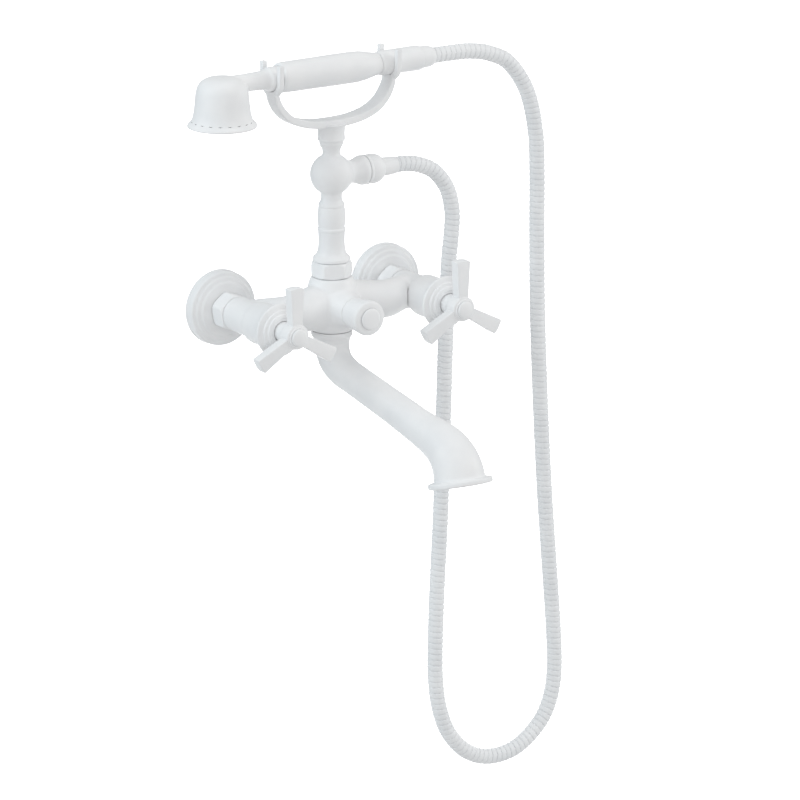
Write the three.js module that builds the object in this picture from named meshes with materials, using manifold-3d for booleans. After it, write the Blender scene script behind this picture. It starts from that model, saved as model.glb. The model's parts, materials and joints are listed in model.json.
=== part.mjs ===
// Wall mounted bath and shower mixer with a telephone handset on a cradle.
// Millimetres, +Z up. The origin is midway between the two wall inlets, on the wall face.
// +X runs right along the wall and -Y comes out of the wall, so a "station" measured out from the
// wall is a distance along -Y.
import * as THREE from "three";
import { mergeVertices } from "three/addons/utils/BufferGeometryUtils.js";
import Module from "manifold-3d";

const wasm = await Module();
wasm.setup();

// Driving dimensions
const INLET_SPACING = 180;
const HALF_SPACING = INLET_SPACING / 2;
const COLUMN_OUT = 52; // barrel, riser and handset axes, out from the wall
const GAP = 0.3; // clearance between touching pieces

const FLANGE_R = 35;
const NUT_R = 18.3; // union nut, across its corners
const VALVE_R = 16.6;
const CARTRIDGE_R = 11.9;
const BONNET_R = 24.9;
const HUB_R = 11.7;
const LEVER_TIP_R = 45;
const LEVER_FRONT = 134;
const LEVER_DEPTH = 10.5;

const BARREL_R = 24;
const BARREL_TOP = 26.6;
const BARREL_FOOT = -23.4;
const KNOB_BACK = 89.7;

const BALL_Z = 122;
const BALL_R = 19.6;
const TEE_Z = 121.5;
const COLLAR_Z = 153.8; // top of the riser, where the cradle sits
const SPOUT_SCREW_Z = -19.7; // the grub screw that runs in the spigot's groove
const CRADLE_SCREW_Z = 158.6;
const WATERWAY_OUT = 57; // the bore that joins both valves to the barrel

const FORK_X = 63.4;
const FORK_T = 4.8;
const FORK_IN = 11.7; // half the width of a fork's slot
const FORK_OUT = 16.9;
const FORK_TOP = 232.5;

const HANDSET_Z = 218.4;
const BELL_X = -116.7;
const BELL_RIM_Z = 181.5;
const HOSE_R = 7.4;

// Helpers
const TURNS = {
  up: new THREE.Matrix4().makeRotationX(Math.PI / 2),
  out: new THREE.Matrix4().makeRotationX(Math.PI),
  right: new THREE.Matrix4().makeRotationZ(-Math.PI / 2),
};

// A solid of revolution. The outline is [radius, station] pairs, closed by itself or by the axis.
function turned(outline, axis, sides = 18) {
  const points = outline.map(([r, s]) => new THREE.Vector2(r, s));
  if (THREE.ShapeUtils.area(points) < 0) points.reverse();
  if (points[0].x > 0) points.push(points[0].clone());
  return new THREE.LatheGeometry(points, sides).applyMatrix4(TURNS[axis]);
}

function rod(radius, from, to, axis, sides = 12) {
  return turned([[0, from], [radius, from], [radius, to], [0, to]], axis, sides);
}

function tube(inner, outer, from, to, axis, sides = 14) {
  return turned([[inner, from], [outer, from], [outer, to], [inner, to]], axis, sides);
}

// Points of a circular arc in an outline, from one angle to another, in degrees.
function arc(centreR, centreS, radius, from, to, steps) {
  return Array.from({ length: steps + 1 }, (_, i) => {
    const a = THREE.MathUtils.degToRad(from + ((to - from) * i) / steps);
    return [centreR + radius * Math.cos(a), centreS + radius * Math.sin(a)];
  });
}

function at(geometry, x, y, z) {
  return geometry.translate(x, y, z);
}

function solidOf(geometry) {
  const plain = geometry.clone();
  plain.deleteAttribute("normal");
  plain.deleteAttribute("uv");
  const merged = mergeVertices(plain, 1e-4);
  return new wasm.Manifold(
    new wasm.Mesh({
      numProp: 3,
      vertProperties: merged.getAttribute("position").array,
      triVerts: new Uint32Array(merged.index.array),
    }),
  );
}

function geometryOf(solid) {
  const mesh = solid.getMesh();
  const geometry = new THREE.BufferGeometry();
  geometry.setAttribute("position", new THREE.BufferAttribute(mesh.vertProperties, 3));
  geometry.setIndex(new THREE.BufferAttribute(mesh.triVerts, 1));
  return geometry;
}

function joined(...geometries) {
  return geometryOf(geometries.map(solidOf).reduce((a, b) => a.add(b)));
}

function cut(geometry, ...tools) {
  return geometryOf(tools.map(solidOf).reduce((a, b) => a.subtract(b), solidOf(geometry)));
}

function common(a, b) {
  return geometryOf(solidOf(a).intersect(solidOf(b)));
}

// A closed skin over rings of points, each ring a list of Vector3 that goes round the same way.
function lofted(rings) {
  const sides = rings[0].length;
  const middle = (ring) =>
    ring.reduce((sum, p) => sum.add(p), new THREE.Vector3()).divideScalar(sides);
  const positions = rings.flat().flatMap((p) => [p.x, p.y, p.z]);
  const start = rings.length * sides;
  positions.push(...middle(rings[0]).toArray(), ...middle(rings.at(-1)).toArray());
  const last = (rings.length - 1) * sides;
  const index = [];
  for (let i = 0; i < sides; i++) {
    const j = (i + 1) % sides;
    for (let k = 0; k < rings.length - 1; k++) {
      const a = k * sides;
      const b = a + sides;
      index.push(a + i, a + j, b + i, a + j, b + j, b + i);
    }
    index.push(start, j, i, start + 1, last + i, last + j);
  }
  const geometry = new THREE.BufferGeometry();
  geometry.setAttribute("position", new THREE.Float32BufferAttribute(positions, 3));
  geometry.setIndex(index);
  return geometry;
}

// One ring of a loft: an oval of half width a along "side" and half height b along "across".
function ring(centre, side, across, a, b, sides) {
  return Array.from({ length: sides }, (_, i) => {
    const t = (2 * Math.PI * i) / sides;
    return centre
      .clone()
      .addScaledVector(side, a * Math.cos(t))
      .addScaledVector(across, b * Math.sin(t));
  });
}

// Finishes
const finish = {
  white: { color: 0xe6e7e8, roughness: 0.45, metalness: 0.1 },
  brass: { color: 0xb5974f, roughness: 0.35, metalness: 0.9 },
  steel: { color: 0xb8bbbd, roughness: 0.3, metalness: 0.9 },
  ceramic: { color: 0xf1ece0, roughness: 0.25, metalness: 0 },
  rubber: { color: 0x26272a, roughness: 0.8, metalness: 0 },
  plastic: { color: 0xdfe1e2, roughness: 0.5, metalness: 0 },
};

const faucet = new THREE.Group();

function add(name, geometry, kind, parent = faucet) {
  const mesh = new THREE.Mesh(geometry, new THREE.MeshStandardMaterial(finish[kind]));
  mesh.name = name;
  parent.add(mesh);
  return mesh;
}

// Wall connections: one set for each inlet

function flange() {
  const front = [[FLANGE_R, 0], [34.5, 9.2], [33.8, 10.3], [30.2, 10.9], [29.4, 12.2]];
  const step = [[25.9, 12.8], [25.1, 14.2], [13.7, 15.1]];
  const inside = [[13.7, 12.2], [28.6, 8.6], [32, 5.5], [32, 0]];
  return turned([...front, ...step, ...inside], "out", 20);
}

// The waisted hexagon of a union nut: a prism turned down at both ends.
function hexagon(radius, from, to, chamfer, axis, corner) {
  const prism = new THREE.CylinderGeometry(radius, radius, to - from, 6);
  prism.rotateY(THREE.MathUtils.degToRad(corner));
  prism.translate(0, (from + to) / 2, 0);
  prism.applyMatrix4(TURNS[axis]);
  const inner = radius * 0.86;
  const ends = [
    [0, from - 1], [inner, from - 1], [inner, from], [radius - 0.4, from + chamfer],
    [radius - 0.4, to - chamfer], [inner, to], [inner, to + 1], [0, to + 1],
  ];
  return common(prism, turned(ends, axis, 24));
}

function unionNut() {
  const bore = rod(13.4, 10, 28.1, "out", 18);
  const lip = rod(11.6, 20, 40, "out", 18);
  return cut(hexagon(NUT_R, 15.6, 32.5, 2.2, "out", 10), bore, lip);
}

const tailpieceOutline = [[7.5, 0], [10.3, 0], [10.3, 10], [13.1, 11], [13.1, 22], [7.5, 22]];

// Valves: one set for each inlet

const bonnetOutline = [
  [17.6, 67.3], [19.4, 71.5], [19.4, 93], [23.4, 101], [BONNET_R, 103.6], [24.2, 105.4],
  [19.4, 106.5], [19, 108.2], [15.9, 108.7], [15.5, 110.5], [10.6, 110.5], [10.6, 106.5],
  [12.4, 106.5], [12.4, 67.3],
];

const housingOutline = [
  [9, 50.6], [CARTRIDGE_R, 50.6], [CARTRIDGE_R, 78], [8.6, 78], [8.6, 104], [4.5, 104],
  [4.5, 62.7], [9, 62.7],
];

// A ceramic disc with one port off its axis.
function disc(from, to, portX) {
  const port = at(rod(2.6, from - 1, to + 1, "out", 8), portX, 0, 0);
  return cut(rod(8.7, from, to, "out", 16), port);
}

const spindleOutline = [
  [0, 59.2], [8.3, 59.2], [8.3, 61.8], [4.1, 61.8], [4.1, 117.4], [2.6, 117.4], [2.6, 108.5],
  [0, 108.5],
];

const hubOutline = [
  [4.5, 108], [9.2, 108], [9.4, 120], [HUB_R, 123], [HUB_R, 133.4], [10.9, 134.6], [9.3, 134.8],
  [9.3, 135.9], [6.6, 135.9], [6.6, 126], [2.7, 126], [2.7, 117.9], [4.5, 117.9],
];

// A flat bar that widens to its slightly bowed tip, with small chamfers along its edges.
function lever(angle) {
  const chamfer = 0.9;
  const root = 4.9 - chamfer;
  const tip = 7.2 - chamfer;
  const shape = new THREE.Shape();
  shape.moveTo(-root, 8);
  shape.lineTo(root, 8);
  shape.lineTo(tip, LEVER_TIP_R - chamfer - 0.5);
  shape.quadraticCurveTo(0, LEVER_TIP_R - chamfer + 0.7, -tip, LEVER_TIP_R - chamfer - 0.5);
  const bar = new THREE.ExtrudeGeometry(shape, {
    depth: LEVER_DEPTH - 2 * chamfer,
    curveSegments: 2,
    bevelSize: chamfer,
    bevelThickness: chamfer,
    bevelSegments: 1,
  });
  bar.rotateX(Math.PI / 2); // the depth now runs out of the wall and the length up
  bar.translate(0, -(LEVER_FRONT - LEVER_DEPTH + chamfer), 0);
  return bar.rotateY(THREE.MathUtils.degToRad(angle));
}

function handle() {
  return joined(turned(hubOutline, "out"), lever(0), lever(120), lever(240));
}

const handleScrewOutline = [
  [0, 109.2], [2.3, 109.2], [2.3, 126.3], [5.2, 126.3], [5.2, 129], [0, 129],
];

const indexButtonOutline = [
  [0, 129.8], [6.3, 129.8], [6.3, 136.2], [8, 136.2], [7.4, 138], [0, 139.2],
];

function addInlet(side, x) {
  const inlet = new THREE.Group();
  inlet.position.x = x;
  faucet.add(inlet);
  const put = (name, geometry, kind) => add(`${side}_${name}`, geometry, kind, inlet);
  put("wall_flange", flange(), "white");
  put("flange_seal", tube(28.2, 31.2, 0.3, 3.2, "out"), "rubber");
  put("wall_tailpiece", turned(tailpieceOutline, "out"), "brass");
  put("union_washer", tube(8, 12.8, 22.3, 24.2, "out"), "rubber");
  put("union_nut", unionNut(), "white");
  put("seat_seal", tube(6, 8.7, 50.6, 52.2, "out"), "rubber");
  put("fixed_ceramic_disc", disc(52.5, 55.6, 5), "ceramic");
  put("moving_ceramic_disc", disc(55.9, 58.9, -5), "ceramic");
  put("cartridge_housing", turned(housingOutline, "out"), "brass");
  put("bonnet", turned(bonnetOutline, "out", 20), "white");
  put("valve_spindle", turned(spindleOutline, "out", 12), "brass");
  put("lever_handle", handle(), "white");
  put("handle_screw", turned(handleScrewOutline, "out", 10), "steel");
  put("index_button", turned(indexButtonOutline, "out", 16), "white");
}

// Main body: barrel, front boss, two bowed arms and two valve bodies, cast in one piece

const barrelOutline = [
  [0, BARREL_FOOT], [18.4, BARREL_FOOT], [20.8, -20.4], [23.2, -11], [BARREL_R, 0],
  [23.4, 12], [21, 22.4], [18.8, BARREL_TOP], [14, BARREL_TOP], [14, 33.5], [0, 33.5],
];

const valveOutline = [
  [0, 24.5], [13, 24.5], [13, 27.8], [11.3, 27.8], [11.3, 32.9], [15.6, 32.9], [16.3, 55],
  [VALVE_R, 67], [0, 67],
];

const bossOutline = [
  [0, 60], [21, 60], [21, 70], [17.4, 76], [15, 82], [14.2, 86], [14, 89.3], [0, 89.3],
];

// Each arm runs along x and bows out from the barrel before it turns back into the valve body.
// Its path is [x, out, radius].
function arm(sign) {
  const path = [
    [0, COLUMN_OUT, 22.4], [22, 54.5, 20.6], [40, 60, 18.4], [54, 60.5, 17], [64, 56.5, 16.4],
    [72, 52.4, 15.9], [80, 50.3, 15.6], [89, 49.5, 15.4],
  ];
  const centres = path.map(([x, out]) => new THREE.Vector3(sign * x, -out, 0));
  const curve = new THREE.CatmullRomCurve3(centres);
  const up = new THREE.Vector3(0, 0, 1);
  const rings = path.map(([, , radius], i) => {
    const t = i / (path.length - 1);
    const side = up.clone().cross(curve.getTangent(t)).normalize();
    return ring(centres[i], side, up, radius, radius, 16);
  });
  return lofted(rings);
}

function mainBody() {
  const barrel = at(turned(barrelOutline, "up", 22), 0, -COLUMN_OUT, 0);
  const valves = [-1, 1].map((s) => at(turned(valveOutline, "out"), s * HALF_SPACING, 0, 0));
  const body = joined(barrel, ...valves, arm(-1), arm(1), turned(bossOutline, "out"));
  const valveBores = [-1, 1].flatMap((s) => [
    at(rod(8, 20, 52, "out"), s * HALF_SPACING, 0, 0),
    at(rod(12.2, 50, 70, "out", 18), s * HALF_SPACING, 0, 0),
    at(rod(20.2, 67, 90, "out", 18), s * HALF_SPACING, 0, 0),
  ]);
  const waterway = at(rod(6, -HALF_SPACING, HALF_SPACING, "right", 10), 0, -WATERWAY_OUT, 0);
  const diverterBore = rod(8.5, 42, 92, "out", 16);
  const spoutBore = at(rod(11, -30, -8, "up", 16), 0, -COLUMN_OUT, 0);
  const riserBore = at(rod(8, -9, 36, "up", 14), 0, -COLUMN_OUT, 0);
  const screwHole = at(rod(2.3, 20, 42, "out", 8), 0, 0, SPOUT_SCREW_Z);
  return cut(body, ...valveBores, waterway, diverterBore, spoutBore, riserBore, screwHole);
}

// Diverter: pulling the knob sends the water up to the handset

const pistonOutline = [
  [0, 56], [7.9, 56], [7.9, 59.6], [6.3, 59.6], [6.3, 62.4], [7.9, 62.4], [7.9, 66], [4, 66],
  [4, 106], [2.3, 106], [2.3, 96], [0, 96],
];

const knobOutline = [
  [12, KNOB_BACK], [13.8, KNOB_BACK], [15.9, 110], [16.2, 112.8], [14.8, 115.4], [8.2, 115.6],
  [8.2, 110], [2.6, 110], [2.6, 106.3], [4.4, 106.3], [4.4, 97], [12, 97],
];

const knobScrewOutline = [[0, 97], [2, 97], [2, 110.3], [4.6, 110.3], [4.6, 112.8], [0, 112.8]];

const knobButtonOutline = [
  [0, 113.2], [7.9, 113.2], [7.9, 116.1], [9.8, 116.1], [8.8, 118], [0, 119],
];

// A coil of round wire round the piston rod.
function diverterSpring() {
  const turnsOfWire = 4;
  const from = 67.2;
  const length = 11.7;
  const points = Array.from({ length: turnsOfWire * 8 + 1 }, (_, i) => {
    const a = (2 * Math.PI * i) / 8;
    const out = from + (length * i) / (turnsOfWire * 8);
    return new THREE.Vector3(6.2 * Math.cos(a), -out, 6.2 * Math.sin(a));
  });
  const wire = new THREE.Shape().absarc(0, 0, 0.6, 0, 2 * Math.PI);
  return new THREE.ExtrudeGeometry(wire, {
    extrudePath: new THREE.CatmullRomCurve3(points),
    steps: turnsOfWire * 8,
    curveSegments: 2,
  });
}

function addDiverter() {
  add("diverter_piston_rod", turned(pistonOutline, "out", 14), "brass");
  add("diverter_piston_seal", tube(6.6, 8.2, 59.9, 62.1, "out"), "rubber");
  add("diverter_spring", diverterSpring(), "steel");
  add("diverter_guide", tube(4.3, 8.2, 80, 88.9, "out"), "brass");
  add("diverter_knob", turned(knobOutline, "out", 20), "white");
  add("diverter_knob_screw", turned(knobScrewOutline, "out", 10), "steel");
  add("diverter_knob_button", turned(knobButtonOutline, "out"), "white");
}

// Spout: a hollow neck that turns forward and flares to a round lip, tipped 15 degrees forward

// [out, z, half width, half height] of the outside, from the top of the neck to the lip.
const spoutOutside = [
  [52, -23.7, 18.9, 18.9], [52, -27.8, 18.9, 18.9], [52.1, -30.8, 17.2, 17.2], [52.3, -36, 16, 16],
  [54, -44.6, 15.2, 15.4], [60.5, -53, 14.6, 14.6], [74, -59, 14.2, 13.8], [95, -63.2, 14.1, 13.5],
  [125, -68.8, 14.3, 13.7], [160, -75.4, 14.7, 14.1], [195, -82.4, 15.6, 15], [220, -87, 17.2, 17],
  [238, -92.2, 19.2, 19.4], [250, -100.2, 21, 21.8], [256.5, -109, 22.2, 23.8],
  [259, -116.5, 22.8, 25], [259.4, -117.2, 29.4, 29], [260.7, -122.3, 29.4, 29],
];
const LIP_TILT = THREE.MathUtils.degToRad(15);
const MOUTH_R = 19.8;
const MOUTH = { out: 260.8, z: -122.5 };

function spoutRings(stations, wall) {
  const curve = new THREE.CatmullRomCurve3(
    stations.map(([out, z]) => new THREE.Vector3(0, -out, z)),
  );
  const side = new THREE.Vector3(1, 0, 0);
  return stations.map(([out, z, a, b], i) => {
    const along = curve.getTangent(i / (stations.length - 1));
    if (i < 2) along.set(0, 0, -1);
    if (i > stations.length - 4) along.set(0, -Math.sin(LIP_TILT), -Math.cos(LIP_TILT));
    const across = along.clone().cross(side).normalize();
    return ring(new THREE.Vector3(0, -out, z), side, across, a - wall, b - wall, 18);
  });
}

// A straight rod through the mouth of the spout, along the way the water leaves it.
function throughMouth(radius, from, to, sides) {
  const piece = rod(radius, from, to, "up", sides);
  piece.rotateX(-LIP_TILT);
  return at(piece, 0, -MOUTH.out, MOUTH.z);
}

const spigotOutline = [
  [0, -31], [10.6, -31], [10.6, -22], [8.9, -22], [8.9, -17.4], [10.6, -17.4], [10.6, -15.6],
  [8.7, -15.6], [8.7, -12.9], [10.6, -12.9], [10.6, -11], [0, -11],
];

function spout() {
  const wall = 2.6;
  const outside = lofted(spoutRings(spoutOutside, 0));
  const spigot = at(turned(spigotOutline, "up"), 0, -COLUMN_OUT, 0);
  const hollow = lofted(spoutRings(spoutOutside.slice(3, 15), wall));
  const neckBore = at(rod(7, -42, 0, "up", 12), 0, -COLUMN_OUT, 0);
  return cut(joined(outside, spigot), hollow, neckBore, throughMouth(MOUTH_R, -2, 17, 20));
}

// A disc of holes that calms the stream.
function straightener() {
  const plate = throughMouth(MOUTH_R - GAP, 8, 12, 20);
  const hole = (r, a) => {
    const tool = rod(4, 6, 14, "up", 6);
    tool.translate(r * Math.cos(a), r * Math.sin(a), 0);
    return at(tool.rotateX(-LIP_TILT), 0, -MOUTH.out, MOUTH.z);
  };
  const round = Array.from({ length: 6 }, (_, i) => hole(12.6, (i * Math.PI) / 3));
  return cut(plate, hole(0, 0), ...round);
}

function addSpout() {
  add("spout", spout(), "white");
  const seal = tube(9, 10.7, -15.3, -13.2, "up");
  add("spout_o_ring", at(seal, 0, -COLUMN_OUT, 0), "rubber");
  add("spout_flow_straightener", straightener(), "plastic");
  const grub = rod(1.9, COLUMN_OUT - 17.5, COLUMN_OUT - 9.3, "out", 8);
  add("spout_retaining_screw", at(grub, 0, 0, SPOUT_SCREW_Z), "steel");
}

// Riser: nut, turned column with its ball, and the side outlet for the hose

const columnOutline = [
  [0, 128], [6.2, 128], [6.2, 22], [7.7, 22], [7.7, 35.5], [13.6, 35.5], [13.6, 37.3], [9.9, 37.3],
  [9.9, 41.8], [17.4, 41.8], [17, 45.2], [13.2, 49.6], [12, 58], [12.4, 69.6], [12.9, 71],
  [12.1, 73], [13, 82], [12, 92], [12.1, 94.6], [9.5, 99],
  ...arc(0, BALL_Z, BALL_R, -60, 65, 8),
  [8, 143.6], [11.1, 150.6], [11.1, COLLAR_Z], [5.9, COLLAR_Z], [5.9, 163], [0, 163],
];

const teeOutline = [
  [0, 8], [10.6, 8], [10.8, 22.6], [13.6, 30.6], [13.6, 35.3], [9.8, 35.3], [9.8, 43], [0, 43],
];

function column() {
  const tee = at(turned(teeOutline, "right"), 0, 0, TEE_Z);
  const bore = at(rod(6.5, 0, 50, "right"), 0, 0, TEE_Z);
  return at(cut(joined(turned(columnOutline, "up"), tee), bore), 0, -COLUMN_OUT, 0);
}

function riserNut() {
  const bore = rod(14.3, 20, 37.6, "up", 18);
  const lip = rod(10.2, 30, 50, "up", 18);
  const nut = cut(hexagon(18.9, BARREL_TOP + GAP, 41.4, 3.4, "up", 6), bore, lip);
  return at(nut, 0, -COLUMN_OUT, 0);
}

const checkValveOutline = [[6.2, 26], [6.2, 37], [4.6, 37], [4.6, 29], [2.2, 29], [2.2, 26]];

const teeNutOutline = [
  [10.2, 35.7], [13.8, 35.7], [13.1, 38.5], [13.9, 43.6], [12.6, 50], [9.9, 53.1], [8.9, 53.1],
  [8.9, 47.9], [10.2, 47.9],
];

const ferruleOutline = [
  [5.5, 45.5], [9.9, 45.5], [9.9, 47.6], [8.6, 47.6], [8.6, 57], [8.2, 65], [7.6, 69.7], [5.5, 69.7],
];

function addRiser() {
  add("riser_nut", riserNut(), "white");
  add("riser_washer", at(tube(8.6, 13.5, 33.8, 35.2, "up"), 0, -COLUMN_OUT, 0), "rubber");
  add("riser_column", column(), "white");
  const onTee = (geometry) => at(geometry, 0, -COLUMN_OUT, TEE_Z);
  add("outlet_check_valve", onTee(turned(checkValveOutline, "right", 12)), "plastic");
  add("column_hose_nut", onTee(turned(teeNutOutline, "right", 20)), "white");
  add("column_hose_washer", onTee(tube(6.7, 9.6, 43.3, 45.2, "right")), "rubber");
  add("column_hose_ferrule", onTee(turned(ferruleOutline, "right")), "white");
}

// Cradle: a stem, a bowed strap and a slotted fork at each end

const stemOutline = [
  [6.2, 154.1], [12.6, 154.1], [12.4, 164], [14, 169.6], [0, 169.6], [0, 164], [6.2, 164],
];

// Half of the strap's outline, from the middle out: [x, z] of its under side and its upper side.
const strapUnder = [
  [0, 166.6], [13, 167], [27, 169.4], [40, 173.8], [51, 181], [59, 190.6], [65.8, 204],
];
const strapUpper = [
  [61, 204], [58.8, 194], [53.6, 186.4], [46, 180.8], [34, 176.4], [18, 174], [0, 173.8],
];

function strap() {
  const vector = ([x, z]) => new THREE.Vector2(x, z);
  const mirrored = ([x, z]) => new THREE.Vector2(-x, z);
  const shape = new THREE.Shape();
  shape.moveTo(0, strapUnder[0][1]);
  shape.splineThru(strapUnder.slice(1).map(vector));
  shape.lineTo(strapUpper[0][0], strapUpper[0][1]);
  shape.splineThru(strapUpper.slice(1).map(vector));
  shape.splineThru(strapUpper.slice(0, -1).reverse().map(mirrored));
  shape.lineTo(-strapUnder.at(-1)[0], strapUnder.at(-1)[1]);
  shape.splineThru(strapUnder.slice(0, -1).reverse().map(mirrored));
  const width = 17;
  const settings = { depth: width, bevelEnabled: false, curveSegments: 2 };
  const band = new THREE.ExtrudeGeometry(shape, settings);
  return at(band.rotateX(Math.PI / 2), 0, width / 2, 0);
}

function fork(x) {
  const shape = new THREE.Shape();
  shape.moveTo(-FORK_OUT, FORK_TOP);
  shape.lineTo(-FORK_OUT, HANDSET_Z);
  shape.absarc(0, HANDSET_Z, FORK_OUT, Math.PI, 2 * Math.PI, false);
  shape.lineTo(FORK_OUT, FORK_TOP);
  shape.lineTo(FORK_IN, FORK_TOP);
  shape.lineTo(FORK_IN, HANDSET_Z);
  shape.absarc(0, HANDSET_Z, FORK_IN, 2 * Math.PI, Math.PI, true);
  shape.lineTo(-FORK_IN, FORK_TOP);
  const settings = { depth: FORK_T, bevelEnabled: false, curveSegments: 7 };
  const plate = new THREE.ExtrudeGeometry(shape, settings);
  const basis = new THREE.Matrix4().makeBasis(
    new THREE.Vector3(0, 1, 0),
    new THREE.Vector3(0, 0, 1),
    new THREE.Vector3(1, 0, 0),
  );
  return at(plate.applyMatrix4(basis), x - FORK_T / 2, 0, 0);
}

function cradle() {
  const whole = joined(turned(stemOutline, "up"), strap(), fork(-FORK_X), fork(FORK_X));
  const screwHole = at(rod(1.9, -20, -5.5, "out", 10), 0, 0, CRADLE_SCREW_Z);
  return at(cut(whole, screwHole), 0, -COLUMN_OUT, 0);
}

function addCradle() {
  add("cradle", cradle(), "white");
  const grub = rod(1.6, COLUMN_OUT - 12.2, COLUMN_OUT - 6.2, "out", 10);
  add("cradle_set_screw", at(grub, 0, 0, CRADLE_SCREW_Z), "steel");
}

// Handset: bell, neck, grip and tail on one horizontal axis

const bellOutline = [
  [29, BELL_RIM_Z], [31.7, BELL_RIM_Z], [31.3, 185.2], [28.4, 188.8], [25.2, 200], [23.4, 214],
  [18.4, 223.2], [8, 226.6], [0, 226.9], [0, 223.6], [16, 219], [21.2, 210], [23.4, 194],
  [28.7, 187.2],
];

const neckOutline = [
  [0, -114], [8.2, -114], [8, -88], [8.9, -70], [11.2, -68.4], [11.2, -57.2], [0, -57.2],
];

function handsetHead() {
  const shell = at(turned(bellOutline, "up", 20), BELL_X, 0, 0);
  const neck = at(turned(neckOutline, "right"), 0, 0, HANDSET_Z);
  const boss = at(rod(5, 188.5, 224, "up", 8), BELL_X, 0, 0);
  const bore = at(rod(4.6, -104, -60, "right", 8), 0, 0, HANDSET_Z);
  const socket = at(rod(7.3, -70, -50, "right", 14), 0, 0, HANDSET_Z);
  const screwHole = at(rod(2.3, 180, 202, "up", 6), BELL_X, 0, 0);
  return at(cut(joined(shell, neck, boss), bore, socket, screwHole), 0, -COLUMN_OUT, 0);
}

function sprayPlate() {
  const holes = Array.from({ length: 8 }, (_, i) => {
    const a = (2 * Math.PI * i) / 8;
    return at(rod(1, 180, 190, "up", 4), 18 * Math.cos(a), 18 * Math.sin(a), 0);
  });
  const plate = tube(2.4, 28.6, 182.6, 185.4, "up", 20);
  return at(cut(plate, ...holes), BELL_X, -COLUMN_OUT, 0);
}

const sprayScrewOutline = [[0, 180.6], [4.2, 181], [4.2, 182.3], [2, 182.3], [2, 198], [0, 198]];

const gripOutline = [
  [7.4, -56.8], [12.8, -56.8], [14.1, -52], [14.4, 10], [14.2, 26], [11.8, 41], [10.3, 49.8],
  [7.4, 49.8],
];

const tailOutline = [
  [7.3, 50.2], [10.4, 50.2], [11.4, 52.6], [11.4, 95], [6.5, 95], [6.5, 83], [4.6, 83], [4.6, 61],
  [7.3, 61],
];

const coneNutOutline = [[6.5, 95.4], [10.3, 95.4], [9.6, 106.4], [8.3, 109.8], [6.5, 109.8]];

function addHandset() {
  add("handset_head", handsetHead(), "white");
  add("spray_plate", sprayPlate(), "plastic");
  const gasket = tube(25.9, 28.4, 185.7, 186.9, "up", 20);
  add("spray_gasket", at(gasket, BELL_X, -COLUMN_OUT, 0), "rubber");
  add("spray_plate_screw", at(turned(sprayScrewOutline, "up", 8), BELL_X, -COLUMN_OUT, 0), "steel");
  const onAxis = (geometry) => at(geometry, 0, -COLUMN_OUT, HANDSET_Z);
  add("handset_water_tube", onAxis(tube(5.2, 7, -69.6, 60.6, "right", 12)), "brass");
  add("handset_grip", onAxis(turned(gripOutline, "right")), "white");
  add("handset_tail", onAxis(turned(tailOutline, "right")), "white");
  add("handset_hose_washer", onAxis(tube(4.6, 6.2, 83.3, 85.2, "right", 10)), "rubber");
  add("handset_hose_insert", onAxis(tube(4.4, 6.1, 85.6, 109.8, "right", 10)), "brass");
  add("handset_hose_nut", onAxis(turned(coneNutOutline, "right")), "white");
}

// Hose: out of the column's ferrule, down in a loop and up into the handset's cone nut

const hoseRoute = [
  [70.1, 121.5], [80, 121.3], [95, 118.4], [113, 109.4], [127, 91.5], [132.6, 69], [131.6, 46],
  [128.8, 20], [126, -42], [124, -102], [120.6, -212], [116.5, -291], [114.5, -348], [115.2, -381],
  [119.4, -408], [130, -434], [150, -455.4], [176, -465.4], [207, -461.6], [234, -441.6],
  [246.8, -417], [250.6, -390], [249.2, -350], [243.6, -282], [237.4, -204], [231.8, -106],
  [228.8, -28], [227.9, 38], [227.7, 95], [225.6, 133], [216, 171.6], [196, 200.6], [174, 212.6],
  [152, 217.5], [130, 218.4], [110.2, 218.4],
];

function hose() {
  const route = hoseRoute.map(([x, z]) => new THREE.Vector3(x, -COLUMN_OUT, z));
  const section = new THREE.Shape().absarc(0, 0, HOSE_R, 0, 2 * Math.PI);
  return new THREE.ExtrudeGeometry(section, {
    extrudePath: new THREE.CatmullRomCurve3(route),
    steps: 56,
    curveSegments: 4,
  });
}

addInlet("left", -HALF_SPACING);
addInlet("right", HALF_SPACING);
add("main_body", mainBody(), "white");
addDiverter();
addSpout();
addRiser();
addCradle();
addHandset();
add("shower_hose", hose(), "white");

export default faucet;
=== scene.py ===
import json
import math

import bmesh
import bpy
import numpy as np
from mathutils import Matrix, Vector


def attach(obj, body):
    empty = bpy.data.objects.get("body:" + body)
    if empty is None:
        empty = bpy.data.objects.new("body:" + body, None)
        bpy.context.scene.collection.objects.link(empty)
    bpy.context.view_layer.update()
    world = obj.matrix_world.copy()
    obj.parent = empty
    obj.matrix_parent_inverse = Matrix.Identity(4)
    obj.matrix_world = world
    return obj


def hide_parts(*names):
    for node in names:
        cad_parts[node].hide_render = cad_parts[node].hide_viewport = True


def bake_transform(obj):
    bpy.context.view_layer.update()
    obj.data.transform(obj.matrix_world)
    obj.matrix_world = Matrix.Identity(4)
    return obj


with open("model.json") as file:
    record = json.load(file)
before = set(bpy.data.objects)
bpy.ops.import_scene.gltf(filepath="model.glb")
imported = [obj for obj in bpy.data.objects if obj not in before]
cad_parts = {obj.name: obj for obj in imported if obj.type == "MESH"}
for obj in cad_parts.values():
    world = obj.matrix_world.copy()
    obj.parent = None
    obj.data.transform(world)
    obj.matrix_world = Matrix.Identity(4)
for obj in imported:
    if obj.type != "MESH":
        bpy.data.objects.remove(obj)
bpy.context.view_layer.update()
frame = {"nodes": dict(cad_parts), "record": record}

# Shapes below are in millimetres and turn into metres when their mesh is made.
MM = 0.001

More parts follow.
